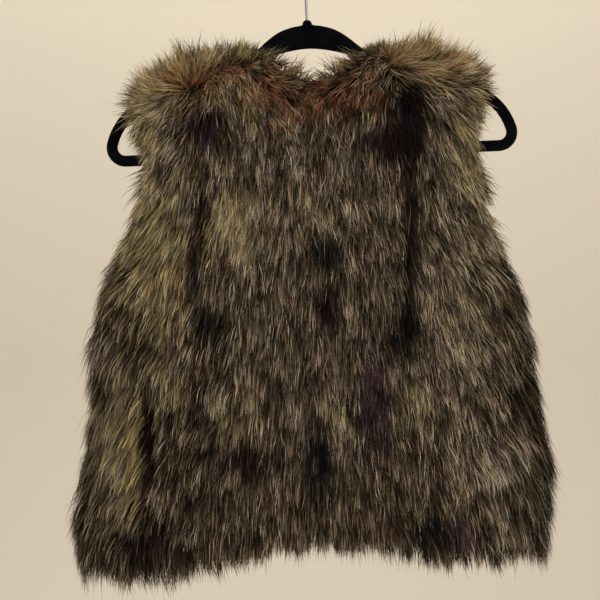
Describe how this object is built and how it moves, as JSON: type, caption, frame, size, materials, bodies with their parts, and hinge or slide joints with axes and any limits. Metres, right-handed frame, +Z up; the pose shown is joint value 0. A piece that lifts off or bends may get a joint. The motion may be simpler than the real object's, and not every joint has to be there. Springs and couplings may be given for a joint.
{
  "type": "faux fur vest on a hanger",
  "caption": "Sleeveless long-pile faux fur vest hanging on a slim black flocked hanger with a steel hook, seen from the back.",
  "frame": {"origin": "where the hanger's hook rests on a rod or a nail, at the top of the inside of the hook", "axes": "+Z up, -Y out of the vest's back, which the picture shows, and +X to the right of that view"},
  "size_m": [0.523, 0.1043, 0.6741],
  "materials": {
    "fur": "long soft pile",
    "flock": "velvet flock on plastic",
    "steel": "bright"
  },
  "bodies": {
    "root": {"back_centre": "fur", "back_side_left": "fur", "back_side_right": "fur", "front_left": "fur", "front_right": "fur", "hanger_body": "flock", "hanger_hook": "steel"}
  },
  "joints": []
}
